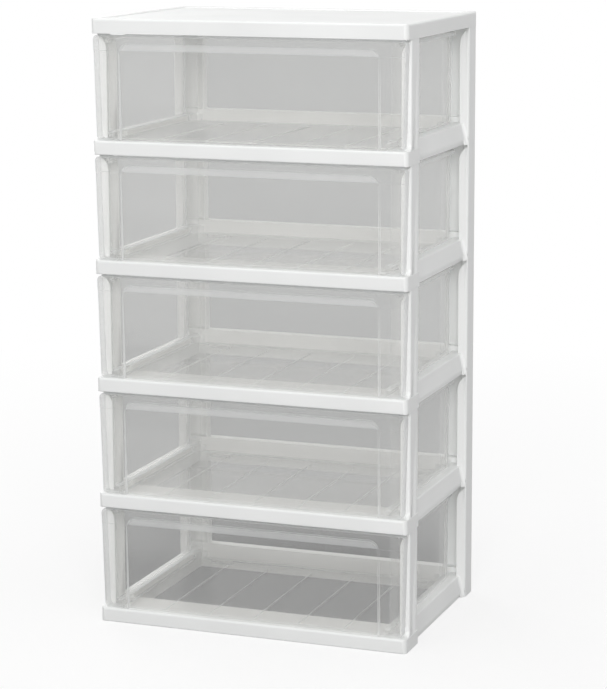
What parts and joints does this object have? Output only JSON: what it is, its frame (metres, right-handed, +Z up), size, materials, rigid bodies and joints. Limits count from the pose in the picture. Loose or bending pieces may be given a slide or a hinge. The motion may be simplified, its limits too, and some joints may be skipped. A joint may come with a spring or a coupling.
{
  "type": "plastic drawer tower",
  "caption": "Free-standing drawer tower of stacked white moulded frames with a rimmed top board and wide see-through drawers that pull out to the front on the side rails.",
  "frame": {"origin": "centre of the footprint, on the surface that the tower stands on", "axes": "+Z up, the drawers open towards -Y, +X to the right when seen from the front"},
  "size_m": [0.548, 0.38, 1.025],
  "materials": {
    "white_plastic": "white injection-moulded polypropylene with a fine satin surface",
    "clear_plastic": "natural polypropylene, milky and see-through, with a soft shine",
    "pin_plastic": "plain white moulded plastic, hidden in its sockets"
  },
  "bodies": {
    "carcass": {"top_board": "white_plastic", "frame_1": "white_plastic", "frame_2": "white_plastic", "frame_3": "white_plastic", "frame_4": "white_plastic", "frame_5": "white_plastic", "joint_pins_1": "pin_plastic", "joint_pins_2": "pin_plastic", "joint_pins_3": "pin_plastic", "joint_pins_4": "pin_plastic", "joint_pins_5": "pin_plastic"},
    "drawer_1": {"drawer_1": "clear_plastic"},
    "drawer_2": {"drawer_2": "clear_plastic"},
    "drawer_3": {"drawer_3": "clear_plastic"},
    "drawer_4": {"drawer_4": "clear_plastic"},
    "drawer_5": {"drawer_5": "clear_plastic"}
  },
  "joints": [
    {"name": "drawer_1_slide", "type": "slide", "parent": "carcass", "child": "drawer_1", "axis": [0, -1, 0], "range_m": [0, 0.25]},
    {"name": "drawer_2_slide", "type": "slide", "parent": "carcass", "child": "drawer_2", "axis": [0, -1, 0], "range_m": [0, 0.25]},
    {"name": "drawer_3_slide", "type": "slide", "parent": "carcass", "child": "drawer_3", "axis": [0, -1, 0], "range_m": [0, 0.25]},
    {"name": "drawer_4_slide", "type": "slide", "parent": "carcass", "child": "drawer_4", "axis": [0, -1, 0], "range_m": [0, 0.25]},
    {"name": "drawer_5_slide", "type": "slide", "parent": "carcass", "child": "drawer_5", "axis": [0, -1, 0], "range_m": [0, 0.25]}
  ]
}
